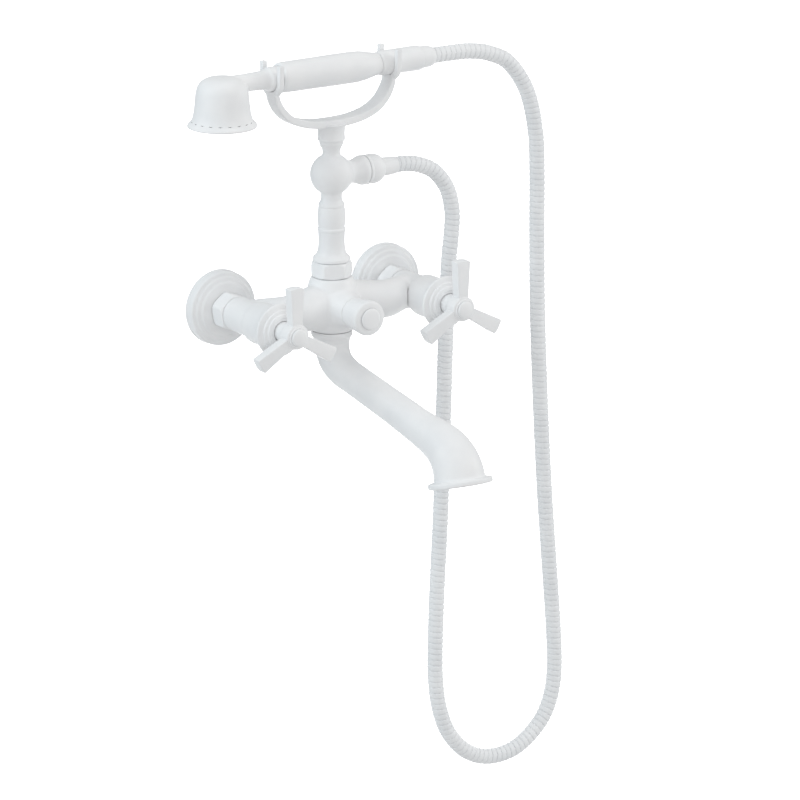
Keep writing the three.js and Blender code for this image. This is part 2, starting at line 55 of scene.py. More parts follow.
# The CAD frame: +X right along the wall, -Y out of the wall, +Z up.
COLUMN_OUT = 52  # barrel, riser and handset axes, out from the wall
HALF_SPACING = 90
TEE_Z = 121.5
BALL_Z = 122
HANDSET_Z = 218.4
BELL_X = -116.7
LIP_TILT = math.radians(15)
MOUTH = Vector((0, -260.8, -122.5))  # centre of the spout's mouth
MOUTH_UP = Vector((0, math.sin(LIP_TILT), math.cos(LIP_TILT)))

# ---------------------------------------------------------------- camera

CAMERA_AZIMUTH = math.radians(33.875)
CAMERA_ELEVATION = math.radians(15.318)
CAMERA_PLACE = (-3.3768, -5.1936, 1.5944)


def add_camera():
    data = bpy.data.cameras.new("camera")
    data.sensor_width = 36
    data.lens = 313.69
    data.clip_end = 60
    camera = bpy.data.objects.new("camera", data)
    bpy.context.scene.collection.objects.link(camera)
    level = math.cos(CAMERA_ELEVATION)
    forward = Vector((
        math.sin(CAMERA_AZIMUTH) * level,
        math.cos(CAMERA_AZIMUTH) * level,
        -math.sin(CAMERA_ELEVATION),
    ))
    camera.location = CAMERA_PLACE
    camera.rotation_euler = forward.to_track_quat("-Z", "Y").to_euler()
    bpy.context.scene.camera = camera


add_camera()

# ---------------------------------------------------------------- mesh helpers

AXES = {
    "up": (Vector((1, 0, 0)), Vector((0, 1, 0)), Vector((0, 0, 1))),
    "out": (Vector((1, 0, 0)), Vector((0, 0, 1)), Vector((0, -1, 0))),
    "right": (Vector((0, 1, 0)), Vector((0, 0, 1)), Vector((1, 0, 0))),
}
SOFT = 1000  # a fillet longer than any edge, so the outline bends softly all the way
CRISP = 0.35


def rounded(points, closed, numbers=2, steps=4):
    """The line through the points with each corner rounded. A point is its numbers, then the fillet's
    reach where the corner is a crisp one."""
    line = []
    for i, point in enumerate(points):
        here = np.array(point[:numbers], float)
        if not closed and i in (0, len(points) - 1):
            line.append(here)
            continue
        back = np.array(points[i - 1][:numbers], float) - here
        on = np.array(points[(i + 1) % len(points)][:numbers], float) - here
        reach = point[numbers] if len(point) > numbers else SOFT
        start = here + back * min(0.5, reach / np.linalg.norm(back))
        end = here + on * min(0.5, reach / np.linalg.norm(on))
        for k in range(steps + 1):
            t = k / steps
            line.append(start * (1 - t) ** 2 + here * 2 * t * (1 - t) + end * t * t)
    kept = [line[0]]
    for point in line[1:]:
        if np.linalg.norm(point - kept[-1]) > 1e-4:
            kept.append(point)
    if closed and np.linalg.norm(kept[0] - kept[-1]) < 1e-4:
        kept.pop()
    return kept


def mesh_object(name, verts, faces):
    mesh = bpy.data.meshes.new(name)
    mesh.from_pydata([Vector(v) * MM for v in verts], [], faces)
    made = bpy.data.objects.new(name, mesh)
    bpy.context.scene.collection.objects.link(made)
    return made


def smooth_faces(piece, sharp=32):
    """Faces point out, and shade smoothly across every edge that bends less than "sharp" degrees."""
    bm = bmesh.new()
    bm.from_mesh(piece.data)
    bmesh.ops.recalc_face_normals(bm, faces=bm.faces)
    bm.to_mesh(piece.data)
    bm.free()
    piece.data.shade_smooth()
    piece.data.set_sharp_from_angle(angle=math.radians(sharp))
    return piece


def skin(name, rings, closed=False):
    """A closed skin over rings that all have as many points, or one point at a pole."""
    verts = [point for ring in rings for point in ring]
    starts = np.cumsum([0] + [len(ring) for ring in rings]).tolist()
    order = list(range(len(rings))) + ([0] if closed else [])
    faces = []
    for a, b in zip(order, order[1:]):
        count_a, count_b = len(rings[a]), len(rings[b])
        for i in range(max(count_a, count_b)):
            j = (i + 1) % max(count_a, count_b)
            corner = [starts[a] + i % count_a, starts[a] + j % count_a]
            other = [starts[b] + j % count_b, starts[b] + i % count_b]
            faces.append(list(dict.fromkeys(corner + other)))
    if not closed:
        for end in (0, -1):
            ring_start = starts[:-1][end]
            if len(rings[end]) > 1:
                faces.append(list(range(ring_start, ring_start + len(rings[end]))))
    return smooth_faces(mesh_object(name, verts, faces))


def turned(name, outline, axis, centre=(0, 0, 0), sides=96, shape=None):
    """A turned piece from its outline of (radius, station). "shape" may pull in a radius by its angle."""
    across, over, along = AXES[axis]
    closed = outline[0][0] > 0
    rings = []
    for radius, station in rounded(outline, closed):
        foot = Vector(centre) + along * station
        if radius < 1e-3:
            rings.append([foot])
            continue
        ring = []
        for i in range(sides):
            angle = 2 * math.pi * i / sides
            reach = shape(angle, radius) if shape else radius
            ring.append(foot + (across * math.cos(angle) + over * math.sin(angle)) * reach)
        rings.append(ring)
    return skin(name, rings, closed)


def slab(name, outline, depths, axes, bevel, centre=(0, 0, 0)):
    """A plate cut to an outline, between two depths, with its sharp edges rounded."""
    across, over, along = axes
    rings = []
    for depth in depths:
        foot = Vector(centre) + along * depth
        rings.append([foot + across * a + over * b for a, b in outline])
    piece = skin(name, rings)
    bm = bmesh.new()
    bm.from_mesh(piece.data)
    edges = [e for e in bm.edges if e.calc_face_angle(0) > math.radians(38)]
    bmesh.ops.bevel(
        bm, geom=edges, offset=bevel * MM, segments=3, profile=0.5, affect="EDGES", clamp_overlap=True
    )
    bm.to_mesh(piece.data)
    bm.free()
    return smooth_faces(piece)


def baked(piece):
    """Applies the modifiers of a piece."""
    graph = bpy.context.evaluated_depsgraph_get()
    graph.update()
    mesh = bpy.data.meshes.new_from_object(piece.evaluated_get(graph))
    piece.modifiers.clear()
    old = piece.data
    piece.data = mesh
    bpy.data.meshes.remove(old)
    mesh.name = piece.name


def gathered(name, parts):
    """Several closed meshes as one object."""
    bm = bmesh.new()
    for part in parts:
        bm.from_mesh(part.data)
        bpy.data.objects.remove(part)
    mesh = bpy.data.meshes.new(name)
    bm.to_mesh(mesh)
    bm.free()
    made = bpy.data.objects.new(name, mesh)
    bpy.context.scene.collection.objects.link(made)
    return made


def boolean(piece, tools, operation):
    for tool in tools:
        change = piece.modifiers.new("change", "BOOLEAN")
        change.operation = operation
        change.solver = "EXACT"
        change.object = tool
        baked(piece)
        bpy.data.objects.remove(tool)
    return smooth_faces(piece)


def cast(name, parts, voxel, rounds, softness):
    """Parts grown together as in a casting: their skin is one, and "softness" says how far it is
    smoothed at each point, from 0 to 1."""
    piece = gathered(name, parts)
    remesh = piece.modifiers.new("remesh", "REMESH")
    remesh.mode = "VOXEL"
    remesh.voxel_size = voxel * MM
    baked(piece)
    group = piece.vertex_groups.new(name="soft")
    for vertex in piece.data.vertices:
        group.add([vertex.index], softness(vertex.co / MM), "REPLACE")
    smoothing = piece.modifiers.new("smooth", "SMOOTH")
    smoothing.factor = 0.5
    smoothing.iterations = rounds
    smoothing.vertex_group = "soft"
    baked(piece)
    piece.vertex_groups.clear()
    return smooth_faces(piece, sharp=50)


# ---------------------------------------------------------------- materials


def noise(tree, scale, detail, stretch=(1, 1, 1)):
    """Noise in the piece's own coordinates."""
    place = tree.nodes.new("ShaderNodeTexCoord")
    mapping = tree.nodes.new("ShaderNodeMapping")
    mapping.inputs["Scale"].default_value = stretch
    made = tree.nodes.new("ShaderNodeTexNoise")
    made.inputs["Scale"].default_value = scale
    made.inputs["Detail"].default_value = detail
    tree.links.new(place.outputs["Object"], mapping.inputs["Vector"])
    tree.links.new(mapping.outputs["Vector"], made.inputs["Vector"])
    return made


def ramp(tree, source, low, high, span=(0.35, 0.65)):
    made = tree.nodes.new("ShaderNodeValToRGB")
    made.color_ramp.elements[0].position = span[0]
    made.color_ramp.elements[1].position = span[1]
    made.color_ramp.elements[0].color = (*low, 1)
    made.color_ramp.elements[1].color = (*high, 1)
    tree.links.new(source.outputs["Fac"], made.inputs["Fac"])
    return made


def spread(tree, source, low, high):
    made = tree.nodes.new("ShaderNodeMapRange")
    made.inputs["From Min"].default_value = 0.3
    made.inputs["From Max"].default_value = 0.7
    made.inputs["To Min"].default_value = low
    made.inputs["To Max"].default_value = high
    tree.links.new(source.outputs["Fac"], made.inputs["Value"])
    return made


def material(name, colours, roughness, metallic=0.0, grain=900, depth=0.05, stretch=(1, 1, 1)):
    """A finish with a cloudy change of colour, uneven gloss and a fine grain, and its shader."""
    made = bpy.data.materials.new(name)
    made.use_nodes = True
    tree = made.node_tree
    shader = tree.nodes["Principled BSDF"]
    shader.inputs["Metallic"].default_value = metallic
    clouds = noise(tree, 38, 4)
    tree.links.new(ramp(tree, clouds, *colours).outputs["Color"], shader.inputs["Base Color"])
    gloss = noise(tree, 120, 3, stretch)
    tree.links.new(spread(tree, gloss, *roughness).outputs["Result"], shader.inputs["Roughness"])
    texture = noise(tree, grain, 4, stretch)
    bump = tree.nodes.new("ShaderNodeBump")
    bump.inputs["Strength"].default_value = depth
    bump.inputs["Distance"].default_value = 0.0004
    tree.links.new(texture.outputs["Fac"], bump.inputs["Height"])
    tree.links.new(bump.outputs["Normal"], shader.inputs["Normal"])
    return made, shader


def white_paint(name, low, high, roughness, grain):
    made, shader = material(name, (low, high), roughness, grain=grain, depth=0.08)
    shader.inputs["Specular IOR Level"].default_value = 0.22
    return made


WHITE = white_paint("satin_white", (0.83, 0.84, 0.85), (0.87, 0.875, 0.88), (0.40, 0.52), 950)
HOSE_WHITE = white_paint("hose_white", (0.80, 0.815, 0.83), (0.85, 0.86, 0.87), (0.40, 0.50), 700)
NOZZLE_WHITE = white_paint("spray_white", (0.78, 0.79, 0.80), (0.84, 0.85, 0.86), (0.50, 0.62), 1300)
BRASS = material(
    "brass", ((0.52, 0.38, 0.16), (0.66, 0.50, 0.23)), (0.22, 0.38), 1.0, 500, 0.12, (1, 6, 1)
)[0]
STEEL = material(
    "steel", ((0.48, 0.49, 0.50), (0.62, 0.63, 0.64)), (0.24, 0.40), 1.0, 700, 0.12, (1, 7, 1)
)[0]
RUBBER = material("rubber", ((0.020, 0.020, 0.022), (0.045, 0.045, 0.048)), (0.62, 0.80), 0.0, 1500, 0.25)[0]
CERAMIC = material("ceramic", ((0.78, 0.75, 0.69), (0.85, 0.83, 0.78)), (0.16, 0.26), 0.0, 1800, 0.03)[0]
PLASTIC = material(
    "moulded_plastic", ((0.74, 0.75, 0.76), (0.80, 0.81, 0.82)), (0.42, 0.55), 0.0, 1600, 0.10
)[0]

SLOT_MATERIALS = {
    "white": WHITE,
    "hose": HOSE_WHITE,
    "brass": BRASS,
    "steel": STEEL,
    "rubber": RUBBER,
    "ceramic": CERAMIC,
    "plastic": PLASTIC,
}


def paint_cad_nodes():
    """Every CAD node gets its slot's material, for those that no fine piece replaces."""
    slots = {s["node"]: s["material_slot"] for s in frame["record"]["subparts"]}
    for name, cad in frame["nodes"].items():
        cad.data.materials.clear()
        cad.data.materials.append(SLOT_MATERIALS[slots[name]])


paint_cad_nodes()


def place(piece, body, cad_node, finish="white", look=None):
    """The fine piece rides on its body and stands for its CAD node."""
    piece.data.materials.clear()
    piece.data.materials.append(look or SLOT_MATERIALS[finish])
    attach(piece, body)
    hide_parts(cad_node)


# ---------------------------------------------------------------- hose

HOSE_R = 7.4
HOSE_PITCH = 5.4
HOSE_SIDES = 36
RINGS_A_TURN = 9
CROWN_DEPTH = 0.22
GROOVE_DEPTH = 1.2
BAND_SHARE = 0.76  # share of the pitch that the band takes, and the groove has the rest

# (x, z) of the centreline in metres, from the column's ferrule to the handset's cone nut.
HOSE_ROUTE = [
    (0.0701, 0.1215), (0.080, 0.1213), (0.095, 0.1184), (0.113, 0.1094), (0.127, 0.0915),
    (0.1326, 0.069), (0.1316, 0.046), (0.1288, 0.020), (0.126, -0.042), (0.124, -0.102),
    (0.1206, -0.212), (0.1165, -0.291), (0.1145, -0.348), (0.1152, -0.381), (0.1194, -0.408),
    (0.130, -0.434), (0.150, -0.4554), (0.176, -0.4654), (0.207, -0.4616), (0.234, -0.4416),
    (0.2468, -0.417), (0.2506, -0.390), (0.2492, -0.350), (0.2436, -0.282), (0.2374, -0.204),
    (0.2318, -0.106), (0.2288, -0.028), (0.2279, 0.038), (0.2277, 0.095), (0.2256, 0.133),
    (0.216, 0.1716), (0.196, 0.2006), (0.174, 0.2126), (0.152, 0.2175), (0.130, 0.2184),
    (0.1102, 0.2184),
]


def smooth_line(points, steps=16):
    """A Catmull-Rom line through the points."""
    line = []
    padded = [2 * points[0] - points[1], *points, 2 * points[-1] - points[-2]]
    for p0, p1, p2, p3 in zip(padded, padded[1:], padded[2:], padded[3:]):
        for k in range(steps):
            t = k / steps
            bend = (2 * p0 - 5 * p1 + 4 * p2 - p3) * t**2 + (3 * p1 - p0 - 3 * p2 + p3) * t**3
            line.append(0.5 * (2 * p1 + (p2 - p0) * t + bend))
    line.append(points[-1])
    return np.array(line)


def evenly(line, step):
    """The line again, in equal steps, with the tangent at each."""
    gaps = np.linalg.norm(np.diff(line, axis=0), axis=1)
    walked = np.concatenate([[0], np.cumsum(gaps)])
    count = round(walked[-1] / step)
    marks = np.linspace(0, walked[-1], count + 1)
    points = np.column_stack([np.interp(marks, walked, line[:, i]) for i in range(3)])
    tangents = np.gradient(points, axis=0)
    tangents /= np.linalg.norm(tangents, axis=1)[:, None]
    return marks, points, tangents


def hose_profile(turn):
    """Radius at a share of one turn of the wound strip: a crowned band, then a narrow groove."""
    from_middle = abs(turn % 1 - 0.5) * 2
    crown = CROWN_DEPTH * from_middle**2
    groove = GROOVE_DEPTH * max(0.0, (from_middle - BAND_SHARE) / (1 - BAND_SHARE)) ** 1.5
    return HOSE_R - crown - groove


def make_hose():
    route = [np.array((x, -COLUMN_OUT * MM, z)) for x, z in HOSE_ROUTE]
    step = HOSE_PITCH * MM / RINGS_A_TURN
    marks, points, tangents = evenly(smooth_line(route), step)
    over = np.array((0.0, 1.0, 0.0))
    rings = []
    for mark, point, tangent in zip(marks, points, tangents):
        across = np.cross(over, tangent)
        ring = []
        for i in range(HOSE_SIDES):
            turn = i / HOSE_SIDES
            angle = 2 * math.pi * turn
            radius = hose_profile(mark / (HOSE_PITCH * MM) + turn)
            away = across * math.cos(angle) + over * math.sin(angle)
            ring.append(Vector(point / MM + away * radius))
        rings.append(ring)
    hose = skin("wound_hose", rings)
    hose.data.materials.append(HOSE_WHITE)
    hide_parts("shower_hose")
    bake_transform(hose)


make_hose()

# ---------------------------------------------------------------- wall connections and valves


def hexagon(apothem, corner):
    """Pulls a radius in to a hexagon's flats, with a corner at that angle in degrees."""
    softness = 0.3

    def pull(angle, radius):
        turn = (angle - math.radians(corner)) % (math.pi / 3) - math.pi / 6
        flat = apothem / math.cos(turn)
        return -softness * math.log(math.exp(-flat / softness) + math.exp(-radius / softness))

    return pull


FLANGE = [
    (35, 0, CRISP), (35, 1.8, 0.4), (34.1, 2.3, 0.3), (34.6, 3, 0.3), (34.5, 9.2, 0.8),
    (33.6, 10.4, 0.8),
    (30.7, 10.8, 0.7), (29.3, 12.3, 0.9), (26.1, 12.6, 0.7), (24.6, 14.1, 0.9), (22.6, 14.3), (19, 14.3),
    (13.7, 15.1, CRISP), (13.7, 12.4, CRISP), (24, 11.4), (28.6, 8.6), (32, 5.5, 0.5), (32, 0, CRISP),
]
FLANGE_SEAL = [(28.2, 0.3, 0.6), (31.2, 0.3, 0.6), (31.2, 3.2, 0.6), (28.2, 3.2, 0.6)]
TAILPIECE = [
    (7.5, 0, CRISP), (10.3, 0, CRISP), (10.3, 10, CRISP), (13.1, 11, CRISP), (13.1, 22, CRISP),
    (7.5, 22, CRISP),
]
UNION_NUT = [
    (13.4, 15.6, CRISP), (15.6, 15.6, CRISP), (17.3, 16.6), (18.1, 18.6), (18.1, 29.6), (17.3, 31.5),
    (15.6, 32.5, CRISP), (11.6, 32.5, CRISP), (11.6, 28.1, CRISP), (13.4, 28.1, CRISP),
]
BONNET = [
    (12.4, 67.3, CRISP), (17.6, 67.3, CRISP), (18.9, 69.4), (19.4, 73), (19.4, 92), (20.6, 97), (23.4, 101),
    (24.9, 103.6, 0.9), (24.4, 105.2, 0.9), (22.8, 105.8), (19.6, 106.5, 0.4), (19.1, 108.2, 0.7),
    (16.3, 108.6, 0.4), (15.7, 110.3, 0.7), (12.6, 110.7), (12.2, 109.8), (9.6, 109.6, 0.3),
    (9.6, 106.5, CRISP), (12.4, 106.5, CRISP),
]
HUB = [
    (4.5, 108, CRISP), (9.2, 108, 0.5), (9.4, 120), (10.4, 121.4), (11.7, 123, 0.8), (11.7, 133.4, 0.9),
    (10.9, 134.6, 0.6), (9.4, 134.8, 0.3), (9.2, 135.9, 0.4), (6.6, 135.9, CRISP), (6.6, 126, CRISP),
    (2.7, 126, CRISP), (2.7, 117.9, CRISP), (4.5, 117.9, CRISP),
]
INDEX_BUTTON = [
    (0, 129.8), (6.3, 129.8, CRISP), (6.3, 136.2, CRISP), (8, 136.2, 0.3), (8, 137, 0.4), (7.2, 138.1),
    (4, 138.9), (0, 139.2),
]
LEVER_TIP_R = 45
LEVER_BOW = 0.8  # how much shorter the lever is at the corners of its tip
LEVER_DEPTHS = (123.5, 134)  # its back and its front, out from the wall


def lever(angle):
    """A flat bar that widens outwards, its end slightly bowed."""
    root = 4.9
    tip = 7.2
    bow = [(tip * s, LEVER_TIP_R - LEVER_BOW * s * s) for s in (1, 0.6, 0.2, -0.2, -0.6, -1)]
    outline = [(-root, 6), (root, 6), *bow]
    turn = math.radians(angle)
    across = Vector((math.cos(turn), 0, -math.sin(turn)))
    over = Vector((math.sin(turn), 0, math.cos(turn)))
    axes = (across, over, Vector((0, -1, 0)))
    return slab("lever", outline, LEVER_DEPTHS, axes, bevel=0.75)


def make_inlet(side, x, handle_body):
    centre = (x, 0, 0)

    def piece(part, outline, finish="white", body="faucet", **more):
        made = turned(f"{side}_{part}_fine", outline, "out", centre, **more)
        place(made, body, f"{side}_{part}", finish)

    piece("wall_flange", FLANGE, sides=128)
    piece("flange_seal", FLANGE_SEAL, "rubber")
    piece("wall_tailpiece", TAILPIECE, "brass")
    piece("union_nut", UNION_NUT, sides=144, shape=hexagon(apothem=15.85, corner=100))
    piece("bonnet", BONNET, sides=112)
    piece("index_button", INDEX_BUTTON, body=handle_body)
    hub = turned(f"{side}_lever_handle_fine", HUB, "out")
    handle = boolean(hub, [lever(0), lever(120), lever(240)], "UNION")
    handle.data.transform(Matrix.Translation(Vector(centre) * MM))
    place(handle, handle_body, f"{side}_lever_handle")


make_inlet("left", -HALF_SPACING, "left_handle")
make_inlet("right", HALF_SPACING, "right_handle")

# ---------------------------------------------------------------- main body

BARREL = [
    (0, -23.4), (18.4, -23.4, CRISP), (20.8, -20.4), (22.8, -13.5), (23.7, -7), (24, 0), (23.7, 9),
    (22.4, 17), (20.4, 23.4), (18.8, 26.6, CRISP), (14, 26.6, CRISP), (14, 33.5, CRISP), (0, 33.5),
]
VALVE_BODY = [(0, 32.9), (15.6, 32.9, CRISP), (16.3, 55), (16.6, 67, CRISP), (0, 67)]
VALVE_STUB = [
    (0, 24.5), (13, 24.5, CRISP), (13, 27.8, CRISP), (11.3, 27.8, CRISP), (11.3, 36, CRISP), (0, 36),
]
BOSS = [
    (0, 56), (21, 56), (21, 68), (19.6, 72), (17.2, 76), (15, 82), (14.2, 86), (14, 89.3, CRISP),
    (0, 89.3),
]
VALVE_BORE = [
    (0, 20), (8, 20, CRISP), (8, 50.4, CRISP), (12.2, 50.4, CRISP), (12.2, 67, CRISP),
    (19.8, 67, CRISP), (19.8, 95, CRISP), (0, 95),
]
SPOUT_SCREW_Z = -19.7
# What is turned off the end of the boss, so that a fine groove shows behind the knob.
BOSS_FACING = [
    (0, 89.2), (13.2, 89.2, CRISP), (13.9, 88.6, CRISP), (25, 88.6, CRISP), (25, 96, CRISP), (0, 96),
]
ARM = [
    (0, 52, 22.4), (22, 54.5, 20.6), (40, 60, 18.4), (54, 60.5, 17), (64, 56.5, 16.4), (72, 52.4, 15.9),
    (80, 50.3, 15.6), (89, 49.5, 15.4),
]


def ring_round(centre, across, over, half_width, half_height, power=2.0, sides=64):
    """A ring of points on an oval, squarer for a power above 2."""
    ring = []
    for i in range(sides):
        angle = 2 * math.pi * i / sides
        wide = abs(math.cos(angle) / half_width) ** power
        high = abs(math.sin(angle) / half_height) ** power
        reach = (wide + high) ** (-1 / power)
        ring.append(centre + (across * math.cos(angle) + over * math.sin(angle)) * reach)
    return ring


def arm(sign):
    stations = rounded(ARM, False, numbers=3, steps=8)
    centres = [Vector((sign * x, -out, 0)) for x, out, _ in stations]
    up = Vector((0, 0, 1))
    rings = []
    for i, (centre, (_, _, radius)) in enumerate(zip(centres, stations)):
        ahead = centres[min(i + 1, len(centres) - 1)] - centres[max(i - 1, 0)]
        rings.append(ring_round(centre, ahead.cross(up).normalized(), up, radius, radius))
    return skin("arm", rings)


def keep_machined_ends(co):
    """How far the casting is smoothed at a point: very little at the turned ends that meet other
    pieces, and fully in between."""
    at_barrel = abs(co.x) < 30 and abs(co.z) > 20.5
    at_boss = co.y < -82
    at_valve = abs(co.x) > 60 and (co.y > -37 or co.y < -63.5)
    return 0.12 if at_barrel or at_boss or at_valve else 1.0


def body_bores():
    """The bores that hold the inner pieces, and the facing of the boss."""
    column = (0, -COLUMN_OUT, 0)
    screw = (0, 0, SPOUT_SCREW_Z)
    tools = [
        turned("bore", [(0, 42), (8.5, 42, CRISP), (8.5, 92, CRISP), (0, 92)], "out"),
        turned("bore", [(0, -40), (11, -40, CRISP), (11, -8, CRISP), (0, -8)], "up", column),
        turned("bore", [(0, -9), (8, -9, CRISP), (8, 40, CRISP), (0, 40)], "up", column),
        turned("bore", [(0, 20), (2.3, 20, CRISP), (2.3, 42, CRISP), (0, 42)], "out", screw),
        turned("facing", BOSS_FACING, "out"),
    ]
    for x in (-HALF_SPACING, HALF_SPACING):
        tools.append(turned("bore", VALVE_BORE, "out", (x, 0, 0)))
    return tools


def make_body():
    parts = [
        turned("barrel", BARREL, "up", (0, -COLUMN_OUT, 0)),
        turned("boss", BOSS, "out"),
        arm(-1),
        arm(1),
    ]
    for x in (-HALF_SPACING, HALF_SPACING):
        parts.append(turned("valve", VALVE_BODY, "out", (x, 0, 0)))
        parts.append(turned("stub", VALVE_STUB, "out", (x, 0, 0)))
    body = cast("main_body_fine", parts, voxel=0.75, rounds=30, softness=keep_machined_ends)
    boolean(body, body_bores(), "DIFFERENCE")
    place(body, "faucet", "main_body")


make_body()

# ---------------------------------------------------------------- diverter

KNOB = [
    (12, 89.7, CRISP), (13.8, 89.7, 0.3), (14.2, 93), (15.3, 104), (16, 110.5), (16.2, 112.6),
    (15.8, 114.4), (14.6, 115.4), (12, 115.8, 0.4), (10.4, 115.8, 0.3), (8.2, 115.4, CRISP),
    (8.2, 110, CRISP), (2.6, 110, CRISP), (2.6, 106.3, CRISP), (4.4, 106.3, CRISP),
    (4.4, 97, CRISP), (12, 97, CRISP),
]
KNOB_BUTTON = [
    (0, 113.2), (7.9, 113.2, CRISP), (7.9, 116.1, CRISP), (9.8, 116.1, 0.2), (9.8, 117, 0.4), (8.6, 118),
    (4.5, 118.7), (0, 119),
]


def make_diverter():
    place(turned("diverter_knob_fine", KNOB, "out"), "diverter", "diverter_knob")
    place(turned("diverter_button_fine", KNOB_BUTTON, "out"), "diverter", "diverter_knob_button")


make_diverter()

# ---------------------------------------------------------------- spout

# (out, z, half width, half height, power) of each section, from the barrel to the lip.
SPOUT = [
    (52, -23.7, 18.9, 18.9, 2), (52, -27.8, 18.9, 18.9, 2), (52.1, -30.8, 17.2, 17.2, 2),
    (52.3, -36, 16, 16, 2.05), (54, -44.6, 15.2, 15.4, 2.15), (60.5, -53, 14.6, 14.6, 2.3),
    (74, -59, 14.2, 13.8, 2.4), (95, -63.2, 14.1, 13.5, 2.4), (125, -68.8, 14.3, 13.7, 2.4),
    (160, -75.4, 14.7, 14.1, 2.4), (195, -82.4, 15.6, 15, 2.35), (220, -87, 17.2, 17, 2.3),
    (238, -92.2, 19.2, 19.4, 2.2), (250, -100.2, 21, 21.8, 2.1), (256.5, -109, 22.2, 23.8, 2),
    (259, -116.5, 22.8, 25, 2),
]
SPIGOT_R = 10.6
SPIGOT_TOP = -11
COLLAR_TOP = -23.7
NECK_TOP = -32  # above it the sections lie flat
LIP_R = 29.4
MOUTH_R = 19.8
# (radius, height up from the mouth), over the lip and up inside to the top of the bore.
LIP = [
    (25.2, 6), (26.6, 5.5, 0.5), (28.6, 5.2, 0.6), (LIP_R, 4.2, 0.9), (LIP_R, 1.2, 0.9), (28.4, 0.2, 0.8),
    (MOUTH_R + 1.4, 0.2, 0.5), (MOUTH_R, 1.4, 0.5), (MOUTH_R, 15, CRISP), (0.5, 15),
]
SPOKES = 12


def through_mouth(height):
    """A point on the mouth's axis, that far up from the mouth's centre."""
    return MOUTH + MOUTH_UP * height


def mouth_ring(radius, height):
    over = Vector((0, -math.cos(LIP_TILT), math.sin(LIP_TILT)))
    return ring_round(through_mouth(height), Vector((1, 0, 0)), over, radius, radius)


def make_spout():
    side = Vector((1, 0, 0))
    stations = smooth_line([np.array(s, float) for s in SPOUT], steps=8)
    centres = [Vector((0, -s[0], s[1])) for s in stations]
    rings = []
    for height in (SPIGOT_TOP, COLLAR_TOP):
        foot = Vector((0, -COLUMN_OUT, height))
        rings.append(ring_round(foot, side, Vector((0, -1, 0)), SPIGOT_R, SPIGOT_R))
    for i, (centre, station) in enumerate(zip(centres, stations)):
        ahead = centres[min(i + 1, len(centres) - 1)] - centres[max(i - 1, 0)]
        if station[1] > NECK_TOP:
            ahead = Vector((0, 0, -1))
        over = ahead.cross(side).normalized()
        rings.append(ring_round(centre, side, over, *station[2:]))
    rings += [mouth_ring(radius, height) for radius, height in rounded(LIP, False)]
    place(skin("spout_fine", rings), "swivel_spout", "spout")


def make_straightener():
    """A rim, two inner rings and spokes that calm the stream."""
    parts = []
    for outer, inner in ((MOUTH_R - 0.3, MOUTH_R - 2.2), (12, 10.9), (5.6, 4.5)):
        rings = [mouth_ring(r, h) for r, h in ((inner, 8.4), (outer, 8.4), (outer, 12), (inner, 12))]
        parts.append(skin("ring", rings, closed=True))
    side = Vector((1, 0, 0))
    front = MOUTH_UP.cross(side)
    start, end = 5, MOUTH_R - 1.6
    for i in range(SPOKES):
        angle = 2 * math.pi * i / SPOKES
        along = side * math.cos(angle) + front * math.sin(angle)
        across = MOUTH_UP.cross(along)
        outline = [(start, -0.45), (end, -0.45), (end, 0.45), (start, 0.45)]
        axes = (along, across, MOUTH_UP)
        parts.append(slab("spoke", outline, (8.8, 11.6), axes, bevel=0.1, centre=MOUTH))
    grid = smooth_faces(gathered("flow_straightener_fine", parts))
    place(grid, "swivel_spout", "spout_flow_straightener", "plastic", NOZZLE_WHITE)


make_spout()
make_straightener()

# ---------------------------------------------------------------- riser


def arc(centre, radius, start, end, steps):
    """Outline points on a ball's arc, between two angles in degrees."""
    points = []
    for k in range(steps + 1):
        angle = math.radians(start + (end - start) * k / steps)
        points.append((radius * math.cos(angle), centre + radius * math.sin(angle)))
    return points


RISER_NUT = [
    (14.3, 26.9, CRISP), (16.6, 26.9, 0.6), (18.2, 27.8), (19.1, 29.6), (19.1, 38.4), (18.2, 40.5),
    (16.6, 41.4, 0.6), (10.2, 41.4, CRISP), (10.2, 37.6, CRISP), (14.3, 37.6, CRISP),
]
COLUMN = [
    (0, 22), (7.7, 22, CRISP), (7.7, 35.5, CRISP), (13.6, 35.5, CRISP), (13.6, 37.3, CRISP),
    (9.9, 37.3, CRISP), (9.9, 41.8, CRISP), (17.3, 41.8, 0.4), (17.5, 43.6, 0.9), (16.9, 45.4),
    (15, 46.8), (13.4, 49), (12.3, 54), (12, 60), (12.2, 66), (12.5, 69.4, 0.4), (12.9, 70.2, 0.5),
    (12.9, 72, 0.5), (12.1, 72.8, 0.4), (12.7, 77), (13, 82), (12.7, 87.6), (12, 91.8),
    (11.7, 92.2, 0.3), (12.1, 92.8, 0.4), (12.1, 94.6, 0.5), (10.2, 97.4),
    (9.5, 100.4), *arc(BALL_Z, 19.6, -59, 64, 12), (7.9, 142.6), (8.6, 146), (10.6, 149.8), (11.1, 151, 0.4),
    (11.1, 153.8, CRISP), (5.9, 153.8, CRISP), (5.9, 163, CRISP), (0, 163),
]
TEE = [
    (0, 8), (15, 8), (13, 15.4), (10.9, 18.4), (10.6, 21), (10.9, 23.6), (12.2, 27.2), (13.6, 30.6),
    (13.8, 33.4), (13.2, 35.3, CRISP), (9.8, 35.3, CRISP), (9.8, 43, CRISP), (0, 43),
]
HOSE_NUT = [
    (10.2, 35.7, CRISP), (13.4, 35.7, CRISP), (13.8, 36.5, 0.3), (13.8, 37.8, 0.4),
    (13.1, 38.5, 0.3), (13.6, 41), (13.9, 44), (13.4, 47.6), (12, 50.8),
    (9.9, 53.1, 0.8), (8.9, 53.1, CRISP), (8.9, 47.9, CRISP), (10.2, 47.9, CRISP),
]
